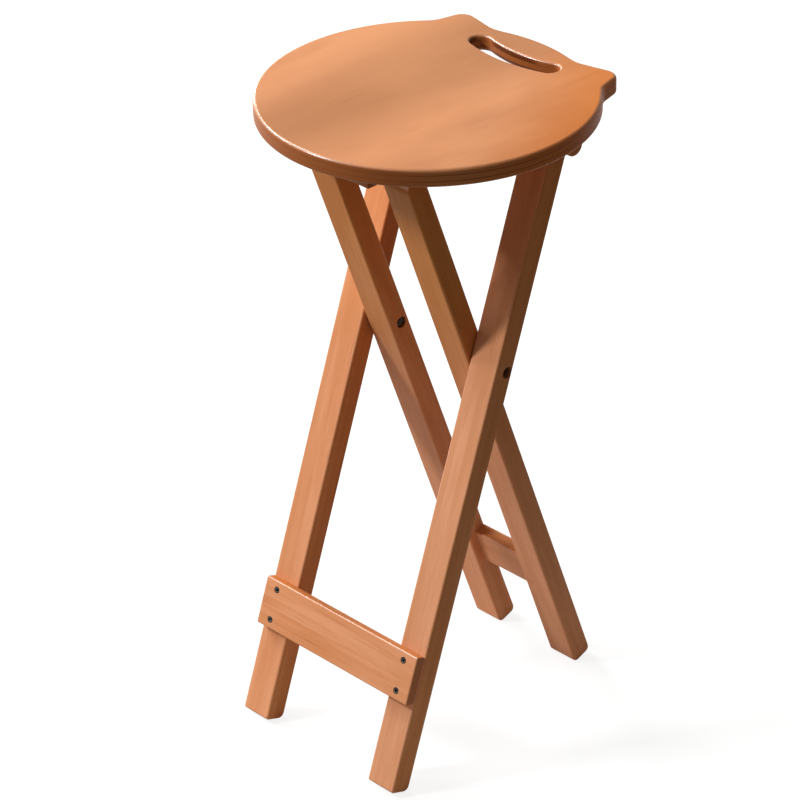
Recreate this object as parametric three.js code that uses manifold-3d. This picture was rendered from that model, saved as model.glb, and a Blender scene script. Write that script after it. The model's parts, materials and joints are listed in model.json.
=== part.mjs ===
// Folding bar stool: two pairs of crossed wooden legs and a hinged round seat.
// Millimetres, +Z up, +X to the stool's right, -Y to its front.
import * as THREE from 'three';
import { mergeVertices } from 'three/addons/utils/BufferGeometryUtils.js';
import Module from 'manifold-3d';

const wasm = await Module();
wasm.setup();

// Driving dimensions; angles are in degrees
const seatHeight = 650;
const seatRadius = 159;
const seatThickness = 17.4;
const frameWidth = 210;
const pivotHeight = 400;
const outerLean = 20;
const innerLean = 19.7;
const legWidth = 34.5;
const legDepth = 22.5;

// Clearances and the overrun of every cut
const fitGap = 0.3;
const legGap = 1;
const hingeGap = 1;
const washerPlay = 0.1;
const cutOverrun = 2;

// Legs
const legArris = 2.4;
const heelRound = 5.2;
const toeRound = 2.5;
const outerPivotSetback = 4.6;
const innerPivotSetback = 2;

// Seat board
const seatCentreY = 6;
const seatTopRound = 3.5;
const seatBottomRound = 2.5;
const backInset = 10.6;
const earReach = 22.1;
const earRound = 14;
const earOuterAngle = 46.7;
const earTipAngle = 56.3;
const earInnerAngle = 70.9;
const earOuterFillet = 24;
const earInnerFillet = 34;
const slotSetback = 42.5;
const slotBend = 148;
const slotWidth = 20;
const slotHalfSpan = 46.3;

// Front crossbar
const crossbarThickness = 10.4;
const crossbarWidth = 49.1;
const crossbarDrop = 308.5;
const crossbarEndInset = 0.75;
const crossbarArris = 1.8;
const crossbarScrewEdge = 9;
const crossbarScrewLength = 28;

// Rear stretcher
const stretcherThickness = 13.8;
const stretcherWidth = 42;
const stretcherDrop = 312.5;
const stretcherArris = 2;
const stretcherBackInset = 0.1;
const tenonThickness = 7.4;
const tenonWidth = 29;
const tenonLength = 14;

// Top rod between the inner legs
const rodDrop = 45;
const rodRadius = 6.5;
const rodTenonRadius = 5;
const rodTenonLength = 13;
const rodEdge = 0.8;

// Pivot and hinge bolts
const boltRadius = 3;
const boltHeadRadius = 5.4;
const boltHeadHeight = 5;
const boltEdge = 0.6;
const socketRadius = 2.4;
const socketDepth = 2.6;
const pivotHeadRecess = 14;
const pivotNutRecess = 8;
const nutRadius = 5.1;
const nutHeight = 5;
const boltEndPlay = 1;
const pivotWasherRadius = 6.2;
const hingeWasherRadius = 8.5;
const hingeHeadRecess = 9;
const hingeBoltGrip = 11;

// Hinge lugs
const hingeDrop = 37.6;
const lugThickness = 15.5;
const lugRadius = 10.25;
const lugHalfLength = 24;
const lugWingThickness = 10;
const lugFillet = 5;
const lugArris = 1.5;
const lugScrewSpread = 17.5;
const lugScrewLength = 20;

// Catch: a lip before the top rod and a sloping block over it
const catchSideGap = 1.25;
const catchGap = 0.5;
const catchLip = 20.8;
const catchDepth = 30.1;
const catchLength = 39;
const catchRound = 1.6;
const catchArris = 1;
const catchScrewInset = 12;
const catchScrewRecess = 14;
const catchScrewLength = 28;
const blockScrewRecess = 5;
const blockScrewLength = 24;

// Wood screws
const screwRadius = 1.7;
const screwHeadRadius = 3.1;
const screwHeadHeight = 2.6;
const screwRim = 0.6;
const screwTip = 4;
const keyRadius = 1.6;
const keyDepth = 1.8;

// Facets
const fineFacet = THREE.MathUtils.degToRad(5);
const roundFacet = THREE.MathUtils.degToRad(18);
const turnedFacets = 16;
const hexSides = 6;
const arrisFacets = 3;
const leastStep = 0.02;

// A corner beside a rounded arris is this much wider than the arris
const cornerShare = 1.4;

const wood = new THREE.MeshStandardMaterial({ color: 0xcf8152, roughness: 0.45, metalness: 0 });
const seatWood = new THREE.MeshStandardMaterial({ color: 0xd98a5c, roughness: 0.38, metalness: 0 });
const blackSteel = new THREE.MeshStandardMaterial({ color: 0x1c1917, roughness: 0.5, metalness: 0.8 });
const brassSteel = new THREE.MeshStandardMaterial({ color: 0x6b5233, roughness: 0.45, metalness: 0.8 });

const sides = [{ name: 'left', sign: -1 }, { name: 'right', sign: 1 }];

// Points of an arc, both ends included
function arcPoints(x, y, radius, from, to, facet) {
  const steps = Math.max(1, Math.ceil(Math.abs(to - from) / facet));
  return Array.from({ length: steps + 1 }, (_, step) => {
    const angle = from + (to - from) * step / steps;
    return new THREE.Vector2(x + radius * Math.cos(angle), y + radius * Math.sin(angle));
  });
}

// Arc that rounds the corner between two straight runs
function cornerPoints(before, corner, after, radius) {
  if (radius === 0) return [corner];
  const back = before.clone().sub(corner).normalize();
  const ahead = after.clone().sub(corner).normalize();
  const half = Math.acos(back.dot(ahead)) / 2;
  const centre = back.clone().add(ahead).normalize().multiplyScalar(radius / Math.sin(half)).add(corner);
  const start = back.multiplyScalar(radius / Math.tan(half)).add(corner).sub(centre).angle();
  const end = ahead.multiplyScalar(radius / Math.tan(half)).add(corner).sub(centre).angle();
  const sweep = Math.atan2(Math.sin(end - start), Math.cos(end - start));
  return arcPoints(centre.x, centre.y, radius, start, start + sweep, roundFacet);
}

// Closed outline with each corner rounded by its own radius: [x, y, radius]
function roundedOutline(corners) {
  const spots = corners.map(([x, y]) => new THREE.Vector2(x, y));
  return corners.flatMap(([, , radius], index) => {
    const before = spots.at(index - 1);
    const after = spots[(index + 1) % spots.length];
    return cornerPoints(before, spots[index], after, radius);
  });
}

function rectangle(y, z, width, height, radius) {
  return roundedOutline([
    [y - width / 2, z - height / 2, radius],
    [y + width / 2, z - height / 2, radius],
    [y + width / 2, z + height / 2, radius],
    [y - width / 2, z + height / 2, radius],
  ]);
}

// Drops points that repeat the one before
function distinct(points) {
  return points.filter((point, index) => point.distanceTo(points.at(index - 1)) > leastStep);
}

// Solid of an outline with its end arrises rounded, from z = 0 up
function extrude(outline, length, arris, hole = null) {
  const shape = new THREE.Shape(distinct(outline));
  if (hole) shape.holes.push(new THREE.Path(distinct(hole)));
  const geometry = new THREE.ExtrudeGeometry(shape, {
    depth: length - 2 * arris,
    bevelEnabled: arris > 0,
    bevelThickness: arris,
    bevelSize: arris,
    bevelOffset: -arris,
    bevelSegments: arrisFacets,
  });
  return geometry.translate(0, 0, arris);
}

// Solid of a (y, z) outline that runs along X, centred on x = 0
function alongX(outline, length, arris) {
  const yzx = new THREE.Matrix4().makeBasis(
    new THREE.Vector3(0, 1, 0),
    new THREE.Vector3(0, 0, 1),
    new THREE.Vector3(1, 0, 0),
  );
  return extrude(outline, length, arris).translate(0, 0, -length / 2).applyMatrix4(yzx);
}

// Turned solid from [radius, height] points, its axis laid from a point towards a direction
function turned(profile, at, direction, facets = turnedFacets) {
  const points = profile.map(([radius, height]) => new THREE.Vector2(radius, height));
  const turn = new THREE.Quaternion().setFromUnitVectors(new THREE.Vector3(0, 1, 0), direction);
  return new THREE.LatheGeometry(points, facets).applyQuaternion(turn).translate(at.x, at.y, at.z);
}

// Plain round bar between two heights on an axis
function roundBar(radius, from, to, at, direction, facets = turnedFacets) {
  return turned([[0, from], [radius, from], [radius, to], [0, to]], at, direction, facets);
}

function solidOf(geometry) {
  const bare = geometry.clone();
  bare.deleteAttribute('normal');
  bare.deleteAttribute('uv');
  const { attributes, index } = mergeVertices(bare);
  const corners = [];
  for (let i = 0; i < index.count; i += 3) {
    const face = [index.getX(i), index.getX(i + 1), index.getX(i + 2)];
    if (new Set(face).size === face.length) corners.push(...face);
  }
  const vertProperties = Float32Array.from(attributes.position.array);
  const triVerts = Uint32Array.from(corners);
  return new wasm.Manifold(new wasm.Mesh({ numProp: 3, vertProperties, triVerts }));
}

// The joined bodies less the cuts
function carve(bodies, cuts = []) {
  const joined = bodies.map(solidOf).reduce((sum, body) => sum.add(body));
  const mesh = cuts.map(solidOf).reduce((rest, cut) => rest.subtract(cut), joined).getMesh();
  const geometry = new THREE.BufferGeometry();
  geometry.setAttribute('position', new THREE.BufferAttribute(mesh.vertProperties, 3));
  geometry.setIndex(new THREE.BufferAttribute(mesh.triVerts, 1));
  geometry.computeVertexNormals();
  return geometry;
}

function addPiece(parent, name, material, geometry) {
  const mesh = new THREE.Mesh(geometry, material);
  mesh.name = name;
  parent.add(mesh);
  return mesh;
}

// A leg frame turns about the X axis through the pivot; these carry points out of it and into it
function frameDepth(turn, y, z) {
  return y * Math.cos(turn) - z * Math.sin(turn);
}

function frameHeight(turn, y, z) {
  return pivotHeight + y * Math.sin(turn) + z * Math.cos(turn);
}

function alongLeg(turn, y, height) {
  return (height - pivotHeight - y * Math.sin(turn)) / Math.cos(turn);
}

const outerTurn = -THREE.MathUtils.degToRad(outerLean);
const innerTurn = THREE.MathUtils.degToRad(innerLean);
const outerLegX = (frameWidth - legWidth) / 2;
const innerLegX = outerLegX - legWidth - legGap;
const innerFaceX = innerLegX - legWidth / 2;
const outerFront = -outerPivotSetback - legDepth / 2;
const innerBack = -innerPivotSetback + legDepth / 2;
const seatUnderside = seatHeight - seatThickness;

// Hinge axis at the tops of the outer legs
const hingeAlong = alongLeg(outerTurn, -outerPivotSetback, seatHeight - hingeDrop);
const hingeY = frameDepth(outerTurn, -outerPivotSetback, hingeAlong);
const hingeZ = frameHeight(outerTurn, -outerPivotSetback, hingeAlong);

// Rod axis at the tops of the inner legs
const rodAlong = alongLeg(innerTurn, -innerPivotSetback, seatHeight - rodDrop);
const rodY = frameDepth(innerTurn, -innerPivotSetback, rodAlong);
const rodZ = frameHeight(innerTurn, -innerPivotSetback, rodAlong);

const xAxis = new THREE.Vector3(1, 0, 0);
const yAxis = new THREE.Vector3(0, 1, 0);
const zAxis = new THREE.Vector3(0, 0, 1);

// Leg seen from the side: its end cut square, so that it stands on the rounded heel of its foot,
// and its top rounded about the cross axis there
function legOutline(turn, setback, topAlong) {
  const front = -setback - legDepth / 2;
  const back = front + legDepth;
  const top = topAlong + legDepth / 2;
  const leansBack = turn < 0;
  const heel = leansBack ? back - heelRound : front + heelRound;
  const foot = alongLeg(turn, heel, heelRound) - heelRound;
  return roundedOutline([
    [front, foot, leansBack ? toeRound : heelRound],
    [back, foot, leansBack ? heelRound : toeRound],
    [back, top, legDepth / 2],
    [front, top, legDepth / 2],
  ]);
}

// Wood screw: its head top at the point, its shank running against the direction
function woodScrewProfile(length, grow, top) {
  return [
    [0, -length - grow],
    [screwRadius + grow, -length + screwTip],
    [screwRadius + grow, -screwHeadHeight],
    [screwHeadRadius + grow, -screwRim],
    [screwHeadRadius + grow, top],
    [0, top],
  ];
}

function woodScrew(length, at, direction) {
  const blank = turned(woodScrewProfile(length, 0, 0), at, direction);
  const key = roundBar(keyRadius, -keyDepth, cutOverrun, at, direction, hexSides);
  return carve([blank], [key]);
}

function screwHole(length, at, direction, recess = 0) {
  return turned(woodScrewProfile(length, fitGap, recess + cutOverrun), at, direction);
}

// Socket bolt: underside of the head at the point, shank running against the direction
function socketBolt(shankLength, at, direction) {
  const blank = turned([
    [0, -shankLength],
    [boltRadius - boltEdge, -shankLength],
    [boltRadius, -shankLength + boltEdge],
    [boltRadius, 0],
    [boltHeadRadius, 0],
    [boltHeadRadius, boltHeadHeight - boltEdge],
    [boltHeadRadius - boltEdge, boltHeadHeight],
    [0, boltHeadHeight],
  ], at, direction);
  const socketFloor = boltHeadHeight - socketDepth;
  const socket = roundBar(socketRadius, socketFloor, boltHeadHeight + cutOverrun, at, direction, hexSides);
  return carve([blank], [socket]);
}

function washer(radius, thickness, at) {
  const rim = roundBar(radius, -thickness / 2, thickness / 2, at, xAxis);
  const hole = roundBar(boltRadius + fitGap, -thickness, thickness, at, xAxis);
  return carve([rim], [hole]);
}

// Outer frame: two legs, the crossbar and the pivots
const outerFrame = new THREE.Group();
outerFrame.position.z = pivotHeight;
outerFrame.rotation.x = outerTurn;

const crossbarFront = outerFront - fitGap - crossbarThickness;
const crossbarScrews = sides.flatMap((side) => [
  { name: `crossbar_screw_${side.name}_upper`, sign: side.sign, edge: 1 },
  { name: `crossbar_screw_${side.name}_lower`, sign: side.sign, edge: -1 },
]).map(({ name, sign, edge }) => {
  const z = -crossbarDrop + edge * (crossbarWidth / 2 - crossbarScrewEdge);
  return { name, sign, at: new THREE.Vector3(sign * outerLegX, crossbarFront, z) };
});
const towardsFront = yAxis.clone().negate();

const pivotSeatX = frameWidth / 2 - pivotHeadRecess;
const nutSeatX = innerFaceX + pivotNutRecess;

for (const { name, sign } of sides) {
  const outward = xAxis.clone().multiplyScalar(sign);
  const inward = outward.clone().negate();
  const pivot = new THREE.Vector3();
  const hinge = new THREE.Vector3(sign * outerLegX, -outerPivotSetback, hingeAlong);
  const reach = frameWidth / 2 + cutOverrun;
  const counterbore = boltHeadRadius + fitGap;
  const leg = alongX(legOutline(outerTurn, outerPivotSetback, hingeAlong), legWidth, legArris);
  const cuts = [
    roundBar(boltRadius + fitGap, 0, reach, pivot, outward),
    roundBar(counterbore, pivotSeatX, reach, pivot, outward),
    roundBar(boltRadius + fitGap, -legWidth, legWidth, hinge, outward),
    roundBar(counterbore, legWidth / 2 - hingeHeadRecess, legWidth, hinge, inward),
    ...crossbarScrews.filter((screw) => screw.sign === sign)
      .map((screw) => screwHole(crossbarScrewLength, screw.at, towardsFront)),
  ];
  addPiece(outerFrame, `outer_leg_${name}`, wood, carve([leg.translate(sign * outerLegX, 0, 0)], cuts));

  const head = outward.clone().multiplyScalar(pivotSeatX + fitGap);
  const shank = pivotSeatX + fitGap - nutSeatX + nutHeight + fitGap + boltEndPlay;
  addPiece(outerFrame, `pivot_bolt_${name}`, blackSteel, socketBolt(shank, head, outward));

  const nutInner = nutSeatX - fitGap - nutHeight;
  const nut = roundBar(nutRadius, nutInner, nutInner + nutHeight, pivot, outward, hexSides);
  const nutBore = roundBar(boltRadius + fitGap, 0, nutSeatX, pivot, outward);
  addPiece(outerFrame, `pivot_nut_${name}`, brassSteel, carve([nut], [nutBore]));

  const washerAt = outward.clone().multiplyScalar(outerLegX - (legWidth + legGap) / 2);
  const pivotWasher = washer(pivotWasherRadius, legGap - 2 * washerPlay, washerAt);
  addPiece(outerFrame, `pivot_washer_${name}`, brassSteel, pivotWasher);
}

const crossbarY = crossbarFront + crossbarThickness / 2;
const crossbarOutline = rectangle(
  crossbarY,
  -crossbarDrop,
  crossbarThickness,
  crossbarWidth,
  crossbarArris * cornerShare,
);
const crossbar = alongX(crossbarOutline, frameWidth - 2 * crossbarEndInset, crossbarArris);
const crossbarHoles = crossbarScrews.map(({ at }) => screwHole(crossbarScrewLength, at, towardsFront));
addPiece(outerFrame, 'front_crossbar', wood, carve([crossbar], crossbarHoles));
for (const { name, at } of crossbarScrews) {
  addPiece(outerFrame, name, blackSteel, woodScrew(crossbarScrewLength, at, towardsFront));
}

// Inner frame: two legs, the rear stretcher and the top rod
const innerFrame = new THREE.Group();
innerFrame.position.z = pivotHeight;
innerFrame.rotation.x = innerTurn;

const stretcherY = innerBack - stretcherBackInset - stretcherThickness / 2;
const rodAt = new THREE.Vector3(0, -innerPivotSetback, rodAlong);

function tenonBar(grow) {
  const outline = rectangle(
    stretcherY,
    -stretcherDrop,
    tenonThickness + 2 * grow,
    tenonWidth + 2 * grow,
    tenonThickness / 2,
  );
  return alongX(outline, 2 * (innerFaceX + tenonLength + grow), 0);
}

for (const { name, sign } of sides) {
  const outward = xAxis.clone().multiplyScalar(sign);
  const pivot = new THREE.Vector3();
  const leg = alongX(legOutline(innerTurn, innerPivotSetback, rodAlong), legWidth, legArris);
  const rodSocket = innerFaceX + rodTenonLength + fitGap;
  const cuts = [
    roundBar(boltRadius + fitGap, 0, frameWidth, pivot, outward),
    roundBar(boltHeadRadius + fitGap, 0, nutSeatX, pivot, outward),
    roundBar(rodTenonRadius + fitGap, 0, rodSocket, rodAt, outward),
    tenonBar(fitGap),
  ];
  addPiece(innerFrame, `inner_leg_${name}`, wood, carve([leg.translate(sign * innerLegX, 0, 0)], cuts));
}

const stretcherOutline = rectangle(
  stretcherY,
  -stretcherDrop,
  stretcherThickness,
  stretcherWidth,
  stretcherArris,
);
const stretcher = alongX(stretcherOutline, 2 * (innerFaceX - fitGap), 0);
addPiece(innerFrame, 'rear_stretcher', wood, carve([stretcher, tenonBar(0)]));

const rodShoulder = innerFaceX - fitGap;
const rodEnd = innerFaceX + rodTenonLength;
const rod = turned([
  [0, -rodEnd],
  [rodTenonRadius - rodEdge, -rodEnd],
  [rodTenonRadius, -rodEnd + rodEdge],
  [rodTenonRadius, -rodShoulder],
  [rodRadius, -rodShoulder],
  [rodRadius, rodShoulder],
  [rodTenonRadius, rodShoulder],
  [rodTenonRadius, rodEnd - rodEdge],
  [rodTenonRadius - rodEdge, rodEnd],
  [0, rodEnd],
], rodAt, xAxis);
addPiece(innerFrame, 'top_rod', wood, carve([rod]));

// Seat: board, hinge lugs and catch
const seat = new THREE.Group();
const downwards = zAxis.clone().negate();

// Half of the board's outline, from the back's middle to the front's middle over the right ear
function seatHalf() {
  const outerAngle = THREE.MathUtils.degToRad(earOuterAngle);
  const tipAngle = THREE.MathUtils.degToRad(earTipAngle);
  const innerAngle = THREE.MathUtils.degToRad(earInnerAngle);
  const onBoard = (radius, angle, inset) => new THREE.Vector2(
    radius * Math.cos(angle),
    seatCentreY - inset + radius * Math.sin(angle),
  );
  const inner = onBoard(seatRadius, innerAngle, backInset);
  const tip = onBoard(seatRadius + earReach, tipAngle, 0);
  const outer = onBoard(seatRadius, outerAngle, 0);
  const backWay = new THREE.Vector2(-Math.sin(innerAngle), Math.cos(innerAngle)).add(inner);
  const frontWay = new THREE.Vector2(Math.sin(outerAngle), -Math.cos(outerAngle)).add(outer);
  const innerRoot = cornerPoints(backWay, inner, tip, earInnerFillet);
  const outerRoot = cornerPoints(tip, outer, frontWay, earOuterFillet);
  const backStart = innerRoot[0].clone().setY(innerRoot[0].y - seatCentreY + backInset).angle();
  const frontStart = outerRoot.at(-1).clone().setY(outerRoot.at(-1).y - seatCentreY).angle();
  return [
    ...arcPoints(0, seatCentreY - backInset, seatRadius, Math.PI / 2, backStart, fineFacet),
    ...innerRoot,
    ...cornerPoints(inner, tip, outer, earRound),
    ...outerRoot,
    ...arcPoints(0, seatCentreY, seatRadius, frontStart, -Math.PI / 2, fineFacet),
  ];
}

function mirrored(points) {
  return points.map((point) => new THREE.Vector2(-point.x, point.y)).reverse();
}

// Curved hand slot: two arcs about a centre behind the seat, closed by half circles
function slotOutline() {
  const middleY = seatCentreY + seatRadius - backInset - slotSetback;
  const centreY = middleY + slotBend;
  const halfAngle = Math.asin(slotHalfSpan / slotBend);
  const start = -Math.PI / 2 - halfAngle;
  const end = -Math.PI / 2 + halfAngle;
  const endX = slotBend * Math.cos(end);
  const endY = centreY + slotBend * Math.sin(end);
  const half = slotWidth / 2;
  return [
    ...arcPoints(0, centreY, slotBend + half, start, end, fineFacet),
    ...arcPoints(endX, endY, half, end, end + Math.PI, roundFacet),
    ...arcPoints(0, centreY, slotBend - half, end, start, fineFacet),
    ...arcPoints(-endX, endY, half, start - Math.PI, start, roundFacet),
  ];
}

// The board's upper and lower halves carry different roundings
function seatBoard() {
  const half = seatHalf();
  const outline = [...half, ...mirrored(half)];
  const slot = slotOutline();
  const middle = seatUnderside + seatThickness / 2;
  const reach = 2 * seatRadius;
  const upper = extrude(outline, seatThickness, seatTopRound, slot).translate(0, 0, seatUnderside);
  const lower = extrude(outline, seatThickness, seatBottomRound, slot).translate(0, 0, seatUnderside);
  const below = new THREE.BoxGeometry(2 * reach, 2 * reach, seatThickness);
  const above = below.clone();
  below.translate(0, 0, middle - seatThickness / 2);
  above.translate(0, 0, middle + seatThickness / 2);
  return [carve([upper], [below]), carve([lower], [above])];
}

// Hinge lug from the side: a round knuckle about the hinge axis under a winged foot
function lugOutline() {
  const wing = seatUnderside - lugWingThickness;
  const knuckle = arcPoints(hingeY, hingeZ, lugRadius, -Math.PI, 0, roundFacet);
  const rightRoot = roundedOutline([
    [hingeY + lugRadius, hingeZ, 0],
    [hingeY + lugRadius, wing, lugFillet],
    [hingeY + lugHalfLength, wing, lugArris * cornerShare],
    [hingeY + lugHalfLength, seatUnderside, 0],
  ]);
  const leftRoot = rightRoot.map((point) => new THREE.Vector2(2 * hingeY - point.x, point.y)).reverse();
  return [...knuckle, ...rightRoot, ...leftRoot];
}

const lugX = frameWidth / 2 + hingeGap + lugThickness / 2;
const lugScrews = sides.flatMap(({ name, sign }) => [
  { name: `lug_screw_${name}_front`, sign, spread: -lugScrewSpread },
  { name: `lug_screw_${name}_back`, sign, spread: lugScrewSpread },
]).map(({ name, sign, spread }) => {
  const at = new THREE.Vector3(sign * lugX, hingeY + spread, seatUnderside - lugWingThickness);
  return { name, sign, at };
});

const catchHalfWidth = innerFaceX - catchSideGap;
const lipBack = rodY - rodRadius - catchGap;
const catchFront = lipBack - catchLip;
const catchBack = catchFront + catchLength;
const catchBottom = seatUnderside - catchDepth;
const blockFront = lipBack + fitGap;
const blockMiddle = (blockFront + catchBack) / 2;

// Underside of the catch block, square to the inner legs, so that the rod slides out along it as they fold
function blockUnderside(y) {
  const reach = Math.hypot(rodY, rodZ - pivotHeight);
  const clear = 1 + (rodRadius + catchGap) / reach;
  const slope = -rodY / (rodZ - pivotHeight);
  return pivotHeight + (rodZ - pivotHeight) * clear + (y - rodY * clear) * slope;
}

function catchOutline(front, back, underside) {
  return roundedOutline([
    [front, seatUnderside, 0],
    [front, underside(front), catchRound],
    [back, underside(back), catchRound],
    [back, seatUnderside, 0],
  ]);
}

const catchPieces = [
  {
    name: 'catch_lip',
    outline: catchOutline(catchFront, lipBack, () => catchBottom),
    screwY: catchFront + catchLip / 2,
    screwZ: catchBottom + catchScrewRecess,
    recess: catchScrewRecess,
    length: catchScrewLength,
  },
  {
    name: 'catch_block',
    outline: catchOutline(blockFront, catchBack, blockUnderside),
    screwY: blockMiddle,
    screwZ: blockUnderside(blockMiddle) + blockScrewRecess,
    recess: blockScrewRecess,
    length: blockScrewLength,
  },
];
const catchScrews = catchPieces.flatMap((piece) => sides.map(({ name, sign }) => ({
  name: `${piece.name}_screw_${name}`,
  piece,
  at: new THREE.Vector3(sign * (catchHalfWidth - catchScrewInset), piece.screwY, piece.screwZ),
})));

const seatHoles = [
  ...lugScrews.map(({ at }) => screwHole(lugScrewLength, at, downwards)),
  ...catchScrews.map(({ piece, at }) => screwHole(piece.length, at, downwards)),
];
addPiece(seat, 'seat_board', seatWood, carve(seatBoard(), seatHoles));

for (const { name, sign } of sides) {
  const outward = xAxis.clone().multiplyScalar(sign);
  const inward = outward.clone().negate();
  const axis = new THREE.Vector3(0, hingeY, hingeZ);
  const lug = alongX(lugOutline(), lugThickness, lugArris).translate(sign * lugX, 0, 0);
  const lugFace = frameWidth / 2 + hingeGap;
  const boltHole = roundBar(boltRadius + fitGap, 0, lugFace + hingeBoltGrip + fitGap, axis, outward);
  const screwHoles = lugScrews.filter((screw) => screw.sign === sign)
    .map(({ at }) => screwHole(lugScrewLength, at, downwards));
  addPiece(seat, `hinge_lug_${name}`, wood, carve([lug], [boltHole, ...screwHoles]));

  const hingeSeatX = frameWidth / 2 - legWidth + hingeHeadRecess - fitGap;
  const head = outward.clone().multiplyScalar(hingeSeatX).add(axis);
  const hingeBolt = socketBolt(lugFace + hingeBoltGrip - hingeSeatX, head, inward);
  addPiece(seat, `hinge_bolt_${name}`, blackSteel, hingeBolt);

  const washerAt = outward.clone().multiplyScalar(frameWidth / 2 + hingeGap / 2).add(axis);
  const hingeWasher = washer(hingeWasherRadius, hingeGap - 2 * washerPlay, washerAt);
  addPiece(seat, `hinge_washer_${name}`, brassSteel, hingeWasher);
}

for (const { name, at } of lugScrews) {
  addPiece(seat, name, blackSteel, woodScrew(lugScrewLength, at, downwards));
}

for (const piece of catchPieces) {
  const batten = alongX(piece.outline, 2 * catchHalfWidth, catchArris);
  const screws = catchScrews.filter((screw) => screw.piece === piece);
  const holes = screws.map(({ at }) => screwHole(piece.length, at, downwards, piece.recess));
  addPiece(seat, piece.name, wood, carve([batten], holes));
  for (const { name, at } of screws) {
    addPiece(seat, name, blackSteel, woodScrew(piece.length, at, downwards));
  }
}

const stool = new THREE.Group();
stool.add(outerFrame, innerFrame, seat);

// The origin lies on the floor at the middle of the stool's length and width
const extent = new THREE.Box3().setFromObject(stool, true);
stool.position.y = -(extent.min.y + extent.max.y) / 2;

export default stool;
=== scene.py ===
import json
import math
import bmesh
import bpy
from mathutils import Matrix, Vector


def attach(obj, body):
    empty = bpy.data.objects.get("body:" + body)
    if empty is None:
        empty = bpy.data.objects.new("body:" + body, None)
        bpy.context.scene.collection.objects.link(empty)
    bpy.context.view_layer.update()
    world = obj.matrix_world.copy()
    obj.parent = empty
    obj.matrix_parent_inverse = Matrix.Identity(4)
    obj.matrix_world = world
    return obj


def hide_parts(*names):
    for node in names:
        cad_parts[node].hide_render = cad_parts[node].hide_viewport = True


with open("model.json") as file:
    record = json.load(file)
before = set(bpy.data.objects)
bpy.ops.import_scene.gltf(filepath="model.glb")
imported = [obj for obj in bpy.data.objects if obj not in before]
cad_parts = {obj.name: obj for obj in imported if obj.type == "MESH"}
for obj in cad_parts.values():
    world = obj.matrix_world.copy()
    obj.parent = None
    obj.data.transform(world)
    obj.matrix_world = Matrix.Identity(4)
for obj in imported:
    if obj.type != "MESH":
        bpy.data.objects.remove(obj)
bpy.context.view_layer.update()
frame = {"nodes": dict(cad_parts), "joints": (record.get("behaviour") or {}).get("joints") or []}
print("frame loaded:", len(frame["nodes"]), "solids")

# Pieces are given in millimetres and degrees, the patterns of the finishes and the studio in metres
mm = 0.001
joints = {joint["name"]: Vector(joint["pos_m"]) for joint in frame["joints"]}
pivot = joints["leg_fold"]
hinge = joints["seat_tilt"]
sides = {"left": -1, "right": 1}

shot = dict(
    place=(2.2484, -2.1717, 2.1397),
    azimuth=45.96, elevation=30.11, roll=-1.13,
    lens=171.44, shiftX=-0.0363, shiftY=0.0038,
)


# Camera
def addCamera():
    azimuth, elevation, roll = (math.radians(shot[key]) for key in ("azimuth", "elevation", "roll"))
    back = Vector((
        math.sin(azimuth) * math.cos(elevation),
        -math.cos(azimuth) * math.cos(elevation),
        math.sin(elevation),
    ))
    right = Vector((math.cos(azimuth), math.sin(azimuth), 0))
    up = back.cross(right)
    across = right * math.cos(roll) + up * math.sin(roll)
    upward = up * math.cos(roll) - right * math.sin(roll)
    lens = bpy.data.cameras.new("shot")
    lens.lens = shot["lens"]
    lens.shift_x = shot["shiftX"]
    lens.shift_y = shot["shiftY"]
    lens.clip_end = 50
    camera = bpy.data.objects.new("shot", lens)
    bpy.context.scene.collection.objects.link(camera)
    turned = Matrix((across, upward, back)).transposed().to_4x4()
    camera.matrix_world = Matrix.Translation(shot["place"]) @ turned
    bpy.context.scene.camera = camera


addCamera()
print("camera placed")


# Modelling helpers
def clearSelection():
    if bpy.context.mode != "OBJECT":
        bpy.ops.object.mode_set(mode="OBJECT")
    bpy.ops.object.select_all(action="DESELECT")


def makeActive(piece):
    clearSelection()
    piece.select_set(True)
    bpy.context.view_layer.objects.active = piece


def settle():
    bpy.ops.object.transform_apply(location=True, rotation=True, scale=True)


def startCube(name, size, middle):
    clearSelection()
    bpy.ops.mesh.primitive_cube_add(size=1, location=Vector(middle) * mm, scale=Vector(size) * mm)
    piece = bpy.context.object
    piece.name = name
    settle()
    return piece


def startCylinder(name, radius, low, high, corners=48):
    clearSelection()
    bpy.ops.mesh.primitive_cylinder_add(
        vertices=corners, radius=radius * mm, depth=(high - low) * mm, location=(0, 0, (high + low) / 2 * mm)
    )
    piece = bpy.context.object
    piece.name = name
    settle()
    return piece


def editMesh(piece):
    if bpy.context.mode != "EDIT_MESH":
        makeActive(piece)
        bpy.ops.object.mode_set(mode="EDIT")
    return bmesh.from_edit_mesh(piece.data)


def chooseParts(piece, kind, test):
    kinds = ("verts", "edges", "faces")
    bpy.context.tool_settings.mesh_select_mode = tuple(kind == other for other in kinds)
    work = editMesh(piece)
    bpy.ops.mesh.select_all(action="DESELECT")
    if kind == "faces":
        work.normal_update()
    for part in getattr(work, kind):
        part.select_set(bool(test(part)))
    bmesh.update_edit_mesh(piece.data)


def chooseFaces(piece, test):
    chooseParts(piece, "faces", test)


def chooseEdges(piece, test):
    chooseParts(piece, "edges", test)


def chooseCorners(piece, test):
    chooseParts(piece, "verts", test)


def near(value, target, slack=0.02):
    return abs(value / mm - target) < slack


def faceAt(face, axis, target, slack=0.02):
    return abs(face.normal[axis]) > 0.9 and near(face.calc_center_median()[axis], target, slack)


def edgeAt(edge, axis, target):
    return all(near(corner.co[axis], target) for corner in edge.verts)


def runsAlong(edge, axis):
    way = edge.verts[1].co - edge.verts[0].co
    return way.length > 0 and abs(way[axis]) > 0.999 * way.length


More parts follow.
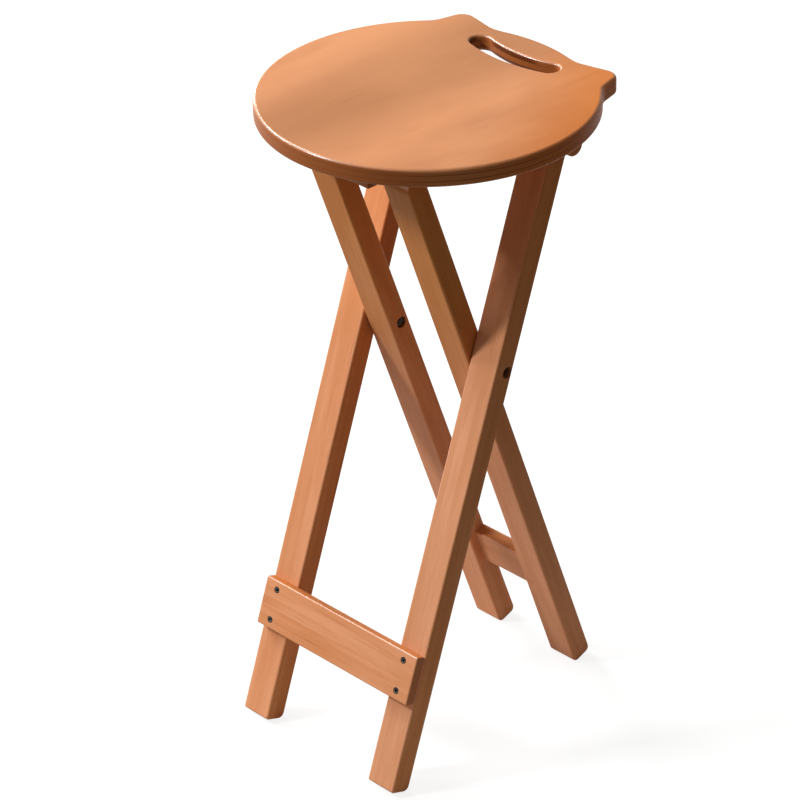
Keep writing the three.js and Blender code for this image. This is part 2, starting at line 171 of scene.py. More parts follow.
def roundOff(radius, steps):
    bpy.ops.mesh.bevel(
        offset_type="OFFSET", offset=radius * mm, segments=steps, profile=0.5, affect="EDGES",
        clamp_overlap=False,
    )


def roundEnds(piece, axis, radius, steps):
    chooseFaces(piece, lambda face: abs(face.normal[axis]) > 0.999)
    bpy.ops.mesh.region_to_loop()
    roundOff(radius, steps)


def weld(slack=0.01):
    bpy.ops.mesh.select_all(action="SELECT")
    bpy.ops.mesh.remove_doubles(threshold=slack * mm)


def recalculate():
    bpy.ops.mesh.select_all(action="SELECT")
    bpy.ops.mesh.normals_make_consistent(inside=False)


def extrudeBy(way):
    bpy.ops.mesh.extrude_region_move(TRANSFORM_OT_translate={"value": Vector(way) * mm})


def resizeBy(value, centre):
    bpy.ops.transform.resize(value=value, center_override=Vector(centre) * mm)


def applyModifier(piece, kind, **settings):
    makeActive(piece)
    bpy.ops.object.modifier_add(type=kind)
    modifier = piece.modifiers[-1]
    for key, value in settings.items():
        setattr(modifier, key, value)
    bpy.ops.object.modifier_apply(modifier=modifier.name)


def cut(piece, cutter):
    applyModifier(piece, "BOOLEAN", operation="DIFFERENCE", solver="EXACT", object=cutter)
    bpy.data.objects.remove(cutter)


def turnTo(piece, way, place):
    piece.rotation_mode = "QUATERNION"
    piece.rotation_quaternion = Vector((0, 0, 1)).rotation_difference(Vector(way))
    piece.location = Vector(place) * mm
    makeActive(piece)
    settle()
    piece.rotation_mode = "XYZ"


# Hole whose mouth, slightly flared, lies at a place on a face that looks along a way
def drill(piece, place, way, radius, depth, flare, corners=48, overrun=1.5):
    cutter = startCylinder("drill", radius, -depth, -flare, corners)
    lowest = -(flare + 0.001) * mm
    for rise, grow in ((flare, (radius + flare) / radius), (overrun, 1)):
        chooseFaces(cutter, lambda face: face.normal.z > 0.9 and face.calc_center_median().z > lowest)
        extrudeBy((0, 0, rise))
        resizeBy((grow, grow, 1), (0, 0, 0))
    clearSelection()
    turnTo(cutter, way, place)
    cut(piece, cutter)


def copyPiece(piece, name):
    twin = piece.copy()
    twin.data = piece.data.copy()
    twin.name = name
    bpy.context.scene.collection.objects.link(twin)
    return twin


def leanBy(piece, lean):
    piece.rotation_euler = (math.radians(lean), 0, 0)
    piece.location = pivot
    makeActive(piece)
    settle()


def smooth(piece, angle=50):
    makeActive(piece)
    bpy.ops.object.shade_smooth_by_angle(angle=math.radians(angle))
    applyModifier(piece, "WEIGHTED_NORMAL", keep_sharp=True, weight=60)


def handOver(piece, body, node, material, angle=50):
    smooth(piece, angle)
    piece.data.materials.clear()
    piece.data.materials.append(material)
    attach(piece, body)
    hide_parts(node)


# Outline drawn as by hand: one corner is spun or extruded from stretch to stretch, then filled
def cornerArc(before, corner, after, radius):
    before, corner, after = (Vector(spot[:2]) for spot in (before, corner, after))
    back = (before - corner).normalized()
    ahead = (after - corner).normalized()
    half = math.acos(max(-1, min(1, back.dot(ahead)))) / 2
    centre = corner + (back + ahead).normalized() * (radius / math.sin(half))
    reach = radius / math.tan(half)
    first = corner + back * reach - centre
    last = corner + ahead * reach - centre
    sweep = math.atan2(first.cross(last), first.dot(last))
    return centre, centre + first, sweep


def spoke(radius, angle):
    return Vector((math.cos(angle), math.sin(angle))) * radius


def turnArm(arm, sweep):
    return Vector((
        arm.x * math.cos(sweep) - arm.y * math.sin(sweep),
        arm.x * math.sin(sweep) + arm.y * math.cos(sweep),
    ))


def arcAbout(centre, radius, fromAngle, toAngle):
    centre = Vector(centre)
    return centre, centre + spoke(radius, fromAngle), toAngle - fromAngle


def cornerArcs(corners):
    arcs = []
    for index, corner in enumerate(corners):
        if corner[2]:
            after = corners[(index + 1) % len(corners)]
            arcs.append(cornerArc(corners[index - 1], corner, after, corner[2]))
        else:
            arcs.append((None, Vector(corner[:2]), 0))
    return arcs


def drawOutline(name, arcs, lay, axis, stride=2.5):
    clearSelection()
    bpy.ops.mesh.primitive_plane_add(size=mm, location=lay(arcs[0][1]) * mm)
    piece = bpy.context.object
    piece.name = name
    settle()
    bpy.ops.object.mode_set(mode="EDIT")
    bpy.context.tool_settings.mesh_select_mode = (True, False, False)
    bpy.ops.mesh.select_all(action="SELECT")
    bpy.ops.mesh.merge(type="CENTER")
    at = arcs[0][1]
    for centre, start, sweep in arcs:
        if (start - at).length > 0.01:
            extrudeBy(lay(start) - lay(at))
            at = start
        if centre is None:
            continue
        steps = max(4, math.ceil(abs(sweep) * (start - centre).length / stride))
        bpy.ops.mesh.spin(steps=steps, angle=-sweep, center=lay(centre) * mm, axis=axis)
        at = centre + turnArm(start - centre, sweep)
    extrudeBy(lay(arcs[0][1]) - lay(at))
    weld(slack=0.03)
    bpy.ops.mesh.select_all(action="SELECT")
    bpy.ops.mesh.edge_face_add()
    return piece


# Finishes
def addNode(tree, kind, values=None, links=None, **settings):
    node = tree.nodes.new(kind)
    for key, value in settings.items():
        setattr(node, key, value)
    for key, value in (values or {}).items():
        node.inputs[key].default_value = value
    for key, source in (links or {}).items():
        tree.links.new(source, node.inputs[key])
    return node


def calculate(tree, operation, first, second=None):
    node = addNode(tree, "ShaderNodeMath", operation=operation)
    for index, source in enumerate((first, second)):
        if source is None:
            continue
        if isinstance(source, (int, float)):
            node.inputs[index].default_value = source
        else:
            tree.links.new(source, node.inputs[index])
    return node.outputs[0]


def add(tree, first, second):
    return calculate(tree, "ADD", first, second)


def multiply(tree, first, second):
    return calculate(tree, "MULTIPLY", first, second)


def apart(tree, first, second):
    return calculate(tree, "ABSOLUTE", calculate(tree, "SUBTRACT", first, second))


def blendColours(tree, share, first, second, way="MIX"):
    node = addNode(tree, "ShaderNodeMix", data_type="RGBA", blend_type=way)
    for index, source in ((0, share), (6, first), (7, second)):
        if isinstance(source, (int, float, tuple)):
            node.inputs[index].default_value = source
        else:
            tree.links.new(source, node.inputs[index])
    return node.outputs[2]


def tintBy(tree, share, colour, tint):
    return blendColours(tree, share, colour, blendColours(tree, 1.0, colour, tint, "MULTIPLY"))


def spread(tree, source, low, high, toLow, toHigh):
    node = addNode(
        tree, "ShaderNodeMapRange",
        values={"From Min": low, "From Max": high, "To Min": toLow, "To Max": toHigh},
        links={"Value": source}, interpolation_type="SMOOTHSTEP",
    )
    return node.outputs["Result"]


def startMaterial(name):
    material = bpy.data.materials.new(name)
    material.use_nodes = True
    tree = material.node_tree
    tree.nodes.clear()
    surface = addNode(tree, "ShaderNodeBsdfPrincipled")
    output = addNode(tree, "ShaderNodeOutputMaterial")
    tree.links.new(surface.outputs[0], output.inputs["Surface"])
    return material, tree, surface


# How near a spot lies to an arris, from the difference between the rounded and the true normal
def edgeShare(tree, radius, low, high):
    rounded = addNode(tree, "ShaderNodeBevel", values={"Radius": radius}, samples=4)
    true = addNode(tree, "ShaderNodeNewGeometry")
    agree = addNode(
        tree, "ShaderNodeVectorMath",
        links={0: rounded.outputs[0], 1: true.outputs["Normal"]}, operation="DOT_PRODUCT",
    )
    return spread(tree, calculate(tree, "SUBTRACT", 1.0, agree.outputs["Value"]), low, high, 0, 1)


woodLook = dict(
    light=(0.74, 0.330, 0.170, 1),
    deep=(0.64, 0.260, 0.114, 1),
    fibre=(0.34, 0.110, 0.035, 1),
    # side tint: partly stain, partly painted shade
    flank=(0.84, 0.72, 0.50, 1),
    # painted shade colour for bores and corners
    recessShade=(0.030, 0.012, 0.006, 1),
    # lighter arris colour: wear and painted highlight
    wearAndSheen=(0.80, 0.400, 0.210, 1),
    endGrain=(0.36, 0.120, 0.042, 1),
    strips=0.12,
    shift=1.0,
    clouds=(45, 45, 6),
    streaks=0.26,
    hairs=0.56,
    knuckles=0.03,
    roughness=(0.42, 0.56),
    gloss=(0.05, 0.80),
    arrisRoughness=0.27,
    bump=0.08,
)
seatLook = dict(
    woodLook,
    light=(0.715, 0.314, 0.142, 1),
    deep=(0.570, 0.236, 0.102, 1),
    strips=0.02,
    shift=0.04,
    clouds=(9, 9, 4),
    streaks=0.16,
    hairs=0.24,
    knuckles=0.015,
    # painted shade on the wall of the hand slot
    slotWallShade=(0.40, 0.31, 0.25, 1),
    corePly=(1.0, 0.95, 0.80, 1),
    roughness=(0.40, 0.50),
    gloss=(0.08, 0.65),
    arrisRoughness=0.25,
    bump=0.05,
)

# The cane's own pattern: noise scales across and along the grain, and masks, each with the two
# values between which it rises or falls and, under the name share, the most it lets through
cane = dict(
    broad=(150, 150, 7), fibres=(620, 620, 11), fine=(1900, 1900, 60), pores=1100.0, poreScatter=0.9,
    cloudMask=(0.32, 0.70), broadMask=(0.55, 0.80), fibreMask=(0.56, 0.82), fineMask=(0.58, 0.82),
    knuckleRate=4.1, knuckleShift=7.3, knuckleFray=0.006, knuckleMask=(0.004, 0.018), sideMask=(0.3, 0.7),
    bandFray=0.06, flankMask=(0.45, 0.8), poreMask=(0.15, 0.45), poreShare=0.75,
    endMask=(0.55, 0.85), endShare=0.85, hollowReach=0.012, hollowMask=(0.15, 0.60), hollowShare=0.90,
    roundingMask=(0.90, 0.985), arris=0.0022, arrisMask=(0.03, 0.16),
    wearMask=(0.35, 0.7), wear=(0.15, 0.45),
    roughMask=(0.3, 0.8), upMask=(0.0, 0.4), rightMask=(0.1, 0.6), rightShare=0.25,
    fibreRise=0.6, fineRise=0.4, rise=0.0006,
)
# The seat board's glue lines, how dark its rim is, partly as painted shade, and the painted shade on the
# wall of its hand slot
plies = dict(
    lineMask=(0.36, 0.46), lineShare=0.9, sideMask=(0.35, 0.7), coreMask=(0.0020, 0.0034),
    slotMask=(0.128, 0.134), wallMask=(0.2, 0.7), rimMask=(0.20, 0.85), rimShare=0.9,
)


# Varnished bamboo: grain along the piece's own length after the turn
def makeBamboo(name, turn, offset, strips, look, amber, flankShare=1.0, layered=False):
    material, tree, surface = startMaterial(name)
    place = addNode(tree, "ShaderNodeTexCoord")
    angles = [math.radians(angle) for angle in turn]
    turned = addNode(
        tree, "ShaderNodeMapping", values={"Location": Vector(offset) * mm, "Rotation": angles},
        links={"Vector": place.outputs["Object"]},
    ).outputs[0]
    facing = addNode(
        tree, "ShaderNodeMapping", values={"Rotation": angles}, links={"Vector": place.outputs["Normal"]}
    ).outputs[0]
    wide, deep, along = addNode(tree, "ShaderNodeSeparateXYZ", links={0: turned}).outputs
    faceWide, faceDeep, faceAlong = (
        calculate(tree, "ABSOLUTE", side)
        for side in addNode(tree, "ShaderNodeSeparateXYZ", links={0: facing}).outputs
    )

    # Glued strips, each with its own tone
    across = addNode(tree, "ShaderNodeCombineXYZ", links={0: wide, 1: deep}).outputs[0]
    cell = addNode(
        tree, "ShaderNodeVectorMath", values={1: (strips[0] * mm, strips[1] * mm, 1)},
        links={0: across}, operation="SNAP",
    ).outputs[0]
    tone = addNode(
        tree, "ShaderNodeTexWhiteNoise", links={"Vector": cell}, noise_dimensions="3D"
    ).outputs["Value"]

    # Broad clouds, fine fibres and finer streaks, all drawn out along the grain
    slid = add(tree, along, multiply(tree, tone, look["shift"]))
    shifted = addNode(tree, "ShaderNodeCombineXYZ", links={0: wide, 1: deep, 2: slid}).outputs[0]

    def streaks(scale, detail, roughness):
        stretched = addNode(
            tree, "ShaderNodeVectorMath", values={1: scale}, links={0: shifted}, operation="MULTIPLY"
        ).outputs[0]
        return addNode(
            tree, "ShaderNodeTexNoise",
            values={"Scale": 1.0, "Detail": detail, "Roughness": roughness}, links={"Vector": stretched},
        ).outputs["Fac"]

    clouds = streaks(look["clouds"], detail=3, roughness=0.55)
    broad = streaks(cane["broad"], detail=3, roughness=0.55)
    fibres = streaks(cane["fibres"], detail=4, roughness=0.62)
    fine = streaks(cane["fine"], detail=3, roughness=0.6)

    # Knuckle bands of the cane, at its own place in each strip
    knuckle = add(
        tree, multiply(tree, along, cane["knuckleRate"]), multiply(tree, tone, cane["knuckleShift"])
    )
    knuckle = apart(tree, calculate(tree, "FRACT", knuckle), 0.5)
    frayed = add(tree, knuckle, multiply(tree, fine, cane["knuckleFray"]))
    band = spread(tree, frayed, *cane["knuckleMask"], 1, 0)
    band = multiply(tree, band, spread(tree, faceAlong, *cane["sideMask"], 1, 0))

    colour = blendColours(tree, spread(tree, clouds, *cane["cloudMask"], 0, 1), look["light"], look["deep"])
    colour = blendColours(tree, multiply(tree, tone, look["strips"]), colour, look["deep"])
    for pattern, mask, share, over in (
        (broad, "broadMask", look["streaks"], look["deep"]),
        (fibres, "fibreMask", look["hairs"], look["fibre"]),
        (fine, "fineMask", look["hairs"], look["fibre"]),
    ):
        colour = blendColours(tree, spread(tree, pattern, *cane[mask], 0, share), colour, over)
    colour = blendColours(tree, multiply(tree, band, look["knuckles"]), colour, look["fibre"])

    # The colour runs richer toward one side of the seat; toward the tops of the legs it runs darker and more
    # golden, as painted shade under the seat
    toward = add(tree, multiply(tree, wide, amber["wide"]), multiply(tree, along, amber["along"]))
    toward = add(tree, toward, multiply(tree, clouds, amber["clouds"]))
    richer = spread(tree, toward, amber["start"], amber["full"], 0, 1)
    colour = tintBy(tree, richer, colour, amber["tint"])
    if "band" in amber:
        # A few darker strips left of the middle
        middle, inside, outside = amber["band"]
        off = add(tree, apart(tree, wide, middle), multiply(tree, clouds, cane["bandFray"]))
        colour = tintBy(tree, spread(tree, off, inside, outside, 1, 0), colour, amber["bandTint"])

    # The side faces take a darker, richer tint: partly edge grain taking more stain, partly painted shade
    # for the shaded sides
    flank = spread(tree, faceWide, *cane["flankMask"], 0, flankShare)
    colour = tintBy(tree, flank, colour, look["flank"])

    # Open pores where the canes are cut across
    pores = addNode(
        tree, "ShaderNodeTexVoronoi", values={"Scale": cane["pores"], "Randomness": cane["poreScatter"]},
        links={"Vector": turned},
    ).outputs["Distance"]
    pored = spread(tree, pores, *cane["poreMask"], cane["poreShare"], 0)
    ends = blendColours(tree, pored, look["endGrain"], look["fibre"])
    colour = blendColours(tree, spread(tree, faceAlong, *cane["endMask"], 0, cane["endShare"]), colour, ends)

    if layered:
        # Three plies: the glue lines show on the rim and in the hand slot
        plyThickness = strips[1] * mm
        ply = calculate(tree, "FRACT", add(tree, calculate(tree, "DIVIDE", deep, plyThickness), 0.5))
        line = spread(tree, apart(tree, ply, 0.5), *plies["lineMask"], 0, plies["lineShare"])
        line = multiply(tree, line, spread(tree, faceDeep, *plies["sideMask"], 1, 0))
        colour = blendColours(tree, line, colour, look["fibre"])
        # Painted shade on the wall of the hand slot, lighter on its middle ply
        core = spread(tree, apart(tree, deep, plyThickness), *plies["coreMask"], 1, 0)
        slotShadeTint = blendColours(tree, core, look["slotWallShade"], look["corePly"])
        squares = add(tree, multiply(tree, wide, wide), multiply(tree, along, along))
        inSlot = spread(tree, calculate(tree, "SQRT", squares), *plies["slotMask"], 1, 0)
        slotWallShade = multiply(tree, inSlot, spread(tree, faceDeep, *plies["wallMask"], 1, 0))
        colour = tintBy(tree, slotWallShade, colour, slotShadeTint)
        # The rim wall takes the same tint: partly the ply edges' own colour, partly painted shade
        rim = spread(tree, faceDeep, *plies["rimMask"], plies["rimShare"], 0)
        colour = tintBy(tree, rim, colour, look["flank"])

    # Painted shade in bores and corners, from ambient occlusion
    hollow = addNode(
        tree, "ShaderNodeAmbientOcclusion", values={"Distance": cane["hollowReach"]},
        samples=4, only_local=True,
    ).outputs["AO"]
    recessShadeShare = spread(tree, hollow, *cane["hollowMask"], cane["hollowShare"], 0)
    colour = blendColours(tree, recessShadeShare, colour, look["recessShade"])

    # Roundings are the spots that look along no main way of the piece
    if layered:
        flat = calculate(tree, "SQRT", calculate(tree, "SUBTRACT", 1.0, multiply(tree, faceDeep, faceDeep)))
    else:
        flat = calculate(tree, "MAXIMUM", faceWide, faceAlong)
    rounding = spread(tree, calculate(tree, "MAXIMUM", faceDeep, flat), *cane["roundingMask"], 1, 0)

    # Stain rubbed thin along the arrises, lighter there also as a painted highlight
    edges = edgeShare(tree, cane["arris"], *cane["arrisMask"])
    edges = multiply(tree, edges, spread(tree, broad, *cane["wearMask"], *cane["wear"]))
    colour = blendColours(tree, edges, colour, look["wearAndSheen"])
    tree.links.new(colour, surface.inputs["Base Color"])

    # The roundings that look up shine most, less where they look to the right
    ways = addNode(tree, "ShaderNodeSeparateXYZ", links={0: place.outputs["Normal"]}).outputs
    shine = multiply(tree, rounding, spread(tree, ways["Z"], *cane["upMask"], 0, 1))
    shine = multiply(tree, shine, spread(tree, ways["X"], *cane["rightMask"], 1, cane["rightShare"]))
    rough = spread(tree, fibres, *cane["roughMask"], *look["roughness"])
    polish = addNode(
        tree, "ShaderNodeMix", values={3: look["arrisRoughness"]}, links={0: shine, 2: rough},
        data_type="FLOAT",
    ).outputs[0]
    tree.links.new(polish, surface.inputs["Roughness"])
    tree.links.new(spread(tree, shine, 0, 1, *look["gloss"]), surface.inputs["Specular IOR Level"])

    height = add(tree, multiply(tree, fibres, cane["fibreRise"]), multiply(tree, fine, cane["fineRise"]))
    grain = addNode(
        tree, "ShaderNodeBump", values={"Distance": cane["rise"]},
        links={"Height": height, "Strength": spread(tree, rounding, 0, 1, look["bump"], 0)},
    )
    tree.links.new(grain.outputs[0], surface.inputs["Normal"])
    return material


# The bright colour serves worn patches and the painted highlight on edges
hardwareLook = {
    "screwSteel": dict(
        base=(0.012, 0.010, 0.009, 1), bright=(0.80, 0.76, 0.70, 1), wear=0.04,
        metallic=0.4, roughness=(0.34, 0.46), gloss=0.3,
    ),
    "blackSteel": dict(
        base=(0.012, 0.009, 0.007, 1), bright=(0.060, 0.044, 0.030, 1), wear=0.3,
        metallic=0.3, roughness=(0.45, 0.60), gloss=0.15,
    ),
    "yellowZinc": dict(
        base=(0.10, 0.060, 0.028, 1), bright=(0.34, 0.22, 0.10, 1), wear=0.3,
        metallic=0.5, roughness=(0.42, 0.58), gloss=0.2,
    ),
}
plating = dict(
    clouds=420.0, scratches=3200.0, wearMask=(0.40, 0.75), roughMask=(0.3, 0.7),
    edge=0.00035, edgeMask=(0.02, 0.2), bump=0.15, rise=0.0001,
)


# Plated steel: cloudy finish, hairline scratches, and edges painted bright as a painted highlight
def makeSteel(name):
    look = hardwareLook[name]
    material, tree, surface = startMaterial(name)
    place = addNode(tree, "ShaderNodeTexCoord")

    def noise(scale, detail):
        return addNode(
            tree, "ShaderNodeTexNoise", values={"Scale": scale, "Detail": detail},
            links={"Vector": place.outputs["Object"]},
        ).outputs["Fac"]

    clouds = noise(plating["clouds"], detail=3.0)
    scratches = noise(plating["scratches"], detail=4.0)
    wearAndSheen = spread(tree, clouds, *plating["wearMask"], 0, look["wear"])
    colour = blendColours(tree, wearAndSheen, look["base"], look["bright"])
    # Painted highlight: a bright ring along the edges
    edges = edgeShare(tree, plating["edge"], *plating["edgeMask"])
    colour = blendColours(tree, edges, colour, look["bright"])
    tree.links.new(colour, surface.inputs["Base Color"])
    rough = spread(tree, clouds, *plating["roughMask"], *look["roughness"])
    tree.links.new(rough, surface.inputs["Roughness"])
    surface.inputs["Metallic"].default_value = look["metallic"]
    surface.inputs["Specular IOR Level"].default_value = look["gloss"]
    grain = addNode(
        tree, "ShaderNodeBump", values={"Strength": plating["bump"], "Distance": plating["rise"]},
        links={"Height": scratches},
    )
    tree.links.new(grain.outputs[0], surface.inputs["Normal"])
    return material


steel = {name: makeSteel(name) for name in hardwareLook}
ambers = {
    "seat": dict(
        wide=1, along=0.6, clouds=0.06, start=0.12, full=0.26, tint=(1.0, 0.71, 0.28, 1),
        band=(-0.028, 0.050, 0.125), bandTint=(0.77, 0.76, 0.72, 1),
    ),
    # toward the tops of the legs: painted shade under the seat
    "inner": dict(wide=0, along=1, clouds=0.10, start=0.22, full=0.60, tint=(0.92, 0.80, 0.45, 1)),
    "outer": dict(wide=0, along=1, clouds=0.10, start=0.30, full=0.65, tint=(0.97, 0.88, 0.72, 1)),
    "blocks": dict(wide=0, along=1, clouds=1, start=0.3, full=1.2, tint=(0.90, 0.80, 0.64, 1)),
}
# Turn of each piece's cane to the piece's own length, with offset and strip sizes in millimetres
blanks = {
    "seat": dict(turn=(90, 0, 0), offset=(13, 647.1, 0), strips=(31, 5.8)),
    "crossbar": dict(turn=(20, 90, 0), offset=(3.1, 2.3, 0), strips=(9.7, 7.9)),
    "stretcher": dict(turn=(-19.7, 90, 0), offset=(4.7, 1.7, 40), strips=(10.3, 8.3)),
    "block": dict(turn=(90, 0, 0), offset=(2.2, 3.3, 90), strips=(8.1, 7.7)),
    "catch": dict(turn=(0, 90, 0), offset=(1.9, 2.8, 60), strips=(8.7, 7.3)),
}
bamboo = {}
for name, blank in blanks.items():
    if name == "seat":
        finish = dict(look=seatLook, amber=ambers["seat"], flankShare=0.0, layered=True)
    else:
        finish = dict(look=woodLook, amber=ambers["blocks"])
    bamboo[name] = makeBamboo(name + "Bamboo", **blank, **finish)
# The leg on the right of the front pair came from a paler cane
paleLook = dict(woodLook, light=(0.75, 0.356, 0.200, 1), deep=(0.65, 0.285, 0.140, 1))
for frameName, lean, flankShare in (("outer", -20, 1.0), ("inner", 19.7, 0.35)):
    for side, sign in sides.items():
        bamboo[frameName + "_" + side] = makeBamboo(
            frameName + side.capitalize() + "Bamboo",
            turn=(-lean, 0, 0), offset=(2.9, 3.7, 7 * sign), strips=(11.7, 8.1),
            look=paleLook if (frameName, side) == ("outer", "right") else woodLook,
            amber=ambers[frameName], flankShare=flankShare,
        )
print("finishes made")


# Legs
leg = dict(
    width=34.5, depth=22.5, arris=2.4, crownShare=0.999, boreRadius=5.7, shankRadius=3.2, overrun=1,
    pivotFlare=0.5, hingeFlare=0.35, shankFlare=0.2,
)
outer = dict(
    lean=-20, setback=4.6, heelRound=6.4, toeRound=3.0, top=hinge.z / mm, x=87.75,
    headRecess=14, hingeRecess=9,
)
inner = dict(lean=19.7, setback=2, heelRound=5.2, toeRound=5.6, top=605, x=52.25, nutRecess=8)
pivotAt = pivot / mm
outerFace = outer["x"] + leg["width"] / 2


def alongLeg(lean, y, height):
    turn = math.radians(lean)
    return (height - pivotAt.z - y * math.sin(turn)) / math.cos(turn)


def fromLeg(lean, x, y, along):
    turn = math.radians(lean)
    back = y * math.cos(turn) - along * math.sin(turn)
    up = y * math.sin(turn) + along * math.cos(turn)
    return Vector((x, back, up)) + pivotAt


def makeLeg(name, sizes, sign):
    lean = sizes["lean"]
    front = -sizes["setback"] - leg["depth"] / 2
    back = front + leg["depth"]
    heel, toe = (back, front) if lean < 0 else (front, back)
    heelCentre = heel + (-sizes["heelRound"] if lean < 0 else sizes["heelRound"])
    foot = alongLeg(lean, heelCentre, sizes["heelRound"]) - sizes["heelRound"]
    crown = alongLeg(lean, -sizes["setback"], sizes["top"])
    top = crown + leg["depth"] / 2
    piece = startCube(
        name,
        (leg["width"], leg["depth"], top - foot),
        (sign * sizes["x"], -sizes["setback"], (top + foot) / 2),
    )
    for edgeY, level, radius, steps in (
        (heel, foot, sizes["heelRound"], 8),
        (toe, foot, sizes["toeRound"], 6),
    ):
        chooseEdges(
            piece, lambda edge: runsAlong(edge, 0) and edgeAt(edge, 1, edgeY) and edgeAt(edge, 2, level)
        )
        roundOff(radius, steps)
    chooseEdges(piece, lambda edge: runsAlong(edge, 0) and edgeAt(edge, 2, top))
    roundOff(leg["depth"] / 2 * leg["crownShare"], steps=14)
    weld(slack=0.05)
    roundEnds(piece, 0, leg["arris"], steps=5)
    weld(slack=0.02)
    recalculate()
    clearSelection()
    return piece, crown


# Counterbore for a head or nut, and from its floor the hole for the shank
def boreLeg(piece, x, y, along, way, recess, flare):
    drill(piece, (x, y, along), (way, 0, 0), leg["boreRadius"], recess, flare)
    through = leg["width"] - recess + leg["overrun"]
    drill(piece, (x - way * recess, y, along), (way, 0, 0), leg["shankRadius"], through, leg["shankFlare"])


for side, sign in sides.items():
    piece, crown = makeLeg("outerLeg" + side.capitalize(), outer, sign)
    boreLeg(piece, sign * outerFace, 0, 0, sign, outer["headRecess"], leg["pivotFlare"])
    boreLeg(
        piece, sign * (outerFace - leg["width"]), -outer["setback"], crown, -sign,
        outer["hingeRecess"], leg["hingeFlare"],
    )
    leanBy(piece, outer["lean"])
    handOver(piece, "outer_frame", "outer_leg_" + side, bamboo["outer_" + side])
    piece, crown = makeLeg("innerLeg" + side.capitalize(), inner, sign)
    innerFace = inner["x"] - leg["width"] / 2
    boreLeg(piece, sign * innerFace, 0, 0, -sign, inner["nutRecess"], leg["pivotFlare"])
    leanBy(piece, inner["lean"])
    handOver(piece, "inner_frame", "inner_leg_" + side, bamboo["inner_" + side])
print("legs made")


# Wood screws and bolts
screw = dict(
    shank=1.7, head=3.1, headHeight=2.6, rim=0.6, edge=0.3, tip=4, point=0.08, socket=1.75, socketDepth=2.0,
    sunk=0.05, boreRadius=3.25, recess=2.9, flare=0.25,
)
bolt = dict(
    shank=3, head=5.4, headHeight=5, collar=0.02, edge=0.6, socket=2.7, socketDepth=2.6,
    boreRadius=3.3, overrun=1, washerEdge=0.15,
)


def makeScrew(name, length):
    piece = startCylinder(name, screw["shank"], -length + screw["tip"], -screw["headHeight"], corners=40)
    for level, rise, grow in (
        (-screw["headHeight"], screw["headHeight"] - screw["rim"], screw["head"] / screw["shank"]),
        (-screw["rim"], screw["rim"], 1),
        (-length + screw["tip"], -screw["tip"], screw["point"]),
    ):
        chooseFaces(piece, lambda face: faceAt(face, 2, level))
        extrudeBy((0, 0, rise))
        resizeBy((grow, grow, 1), (0, 0, level + rise))
    chooseEdges(piece, lambda edge: edgeAt(edge, 2, 0))
    roundOff(screw["edge"], steps=4)
    recalculate()
    drill(piece, (0, 0, 0), (0, 0, 1), screw["socket"], screw["socketDepth"], flare=0.15, corners=6)
    return piece


def makeBolt(name, length):
    piece = startCylinder(name, bolt["shank"], -length, 0, corners=40)
    for level, rise, grow in (
        (0, bolt["collar"], bolt["head"] / bolt["shank"]),
        (bolt["collar"], bolt["headHeight"] - bolt["collar"], 1),
    ):
        chooseFaces(piece, lambda face: faceAt(face, 2, level, slack=0.005))
        extrudeBy((0, 0, rise))
        resizeBy((grow, grow, 1), (0, 0, level + rise))
    chooseEdges(piece, lambda edge: edgeAt(edge, 2, bolt["headHeight"]) or edgeAt(edge, 2, -length))
    roundOff(bolt["edge"], steps=4)
    recalculate()
    top = (0, 0, bolt["headHeight"])
    drill(piece, top, (0, 0, 1), bolt["socket"], bolt["socketDepth"], flare=0.2, corners=6)
    return piece


# Each fastener is modelled once upright and copied to its places
def setFasteners(master, places, body, material):
    for name, node, place, way in places:
        piece = copyPiece(master, name)
        turnTo(piece, way, place)
        handOver(piece, body, node, material, angle=35)
    bpy.data.objects.remove(master)


# Footrest bar
crossbar = dict(
    length=208.5, thickness=10.4, width=49.1, drop=308.5, gap=0.3, arris=1.8, screwEdge=9, screwLength=28,
)
crossbarFront = -outer["setback"] - leg["depth"] / 2 - crossbar["gap"] - crossbar["thickness"]
piece = startCube(
    "footrestBar",
    (crossbar["length"], crossbar["thickness"], crossbar["width"]),
    (0, crossbarFront + crossbar["thickness"] / 2, -crossbar["drop"]),
)
chooseEdges(piece, lambda edge: True)
roundOff(crossbar["arris"], steps=5)
weld()
recalculate()
turn = math.radians(outer["lean"])
screwPlaces = []
for side, sign in sides.items():
    for level, edge in (("upper", 1), ("lower", -1)):
        x = sign * outer["x"]
        along = -crossbar["drop"] + edge * (crossbar["width"] / 2 - crossbar["screwEdge"])
        mouth = (x, crossbarFront, along)
        drill(piece, mouth, (0, -1, 0), screw["boreRadius"], screw["recess"], screw["flare"])
        screwPlaces.append((
            "footrestScrew" + side.capitalize() + level.capitalize(),
            "crossbar_screw_" + side + "_" + level,
            fromLeg(outer["lean"], x, crossbarFront + screw["sunk"], along),
            (0, -math.cos(turn), -math.sin(turn)),
        ))
leanBy(piece, outer["lean"])
handOver(piece, "outer_frame", "front_crossbar", bamboo["crossbar"])
setFasteners(
    makeScrew("screw", crossbar["screwLength"]), screwPlaces,
    "outer_frame", steel["screwSteel"],
)
print("footrest bar made")


# Leg pivots
pivots = dict(
    headSeat=91.3, nutSeat=42.7, nutRadius=5.1, nutHeight=5, nutEdge=0.35, washerRadius=6.2, washer=0.8,
    legGap=1, shank=54.6,
)


def makeWasher(name, radius, thickness):
    piece = startCylinder(name, radius, -thickness / 2, thickness / 2, corners=56)
    chooseEdges(piece, lambda edge: near(edge.verts[0].co.z - edge.verts[1].co.z, 0, slack=0.001))
    roundOff(bolt["washerEdge"], steps=2)
    top = (0, 0, thickness / 2)
    drill(piece, top, (0, 0, 1), bolt["boreRadius"], thickness + bolt["overrun"], flare=0.1)
    return piece


def bothSides(name, node, place):
    for side, sign in sides.items():
        x, y, z = place
        yield name + side.capitalize(), node + side, (sign * x, y, z), (sign, 0, 0)


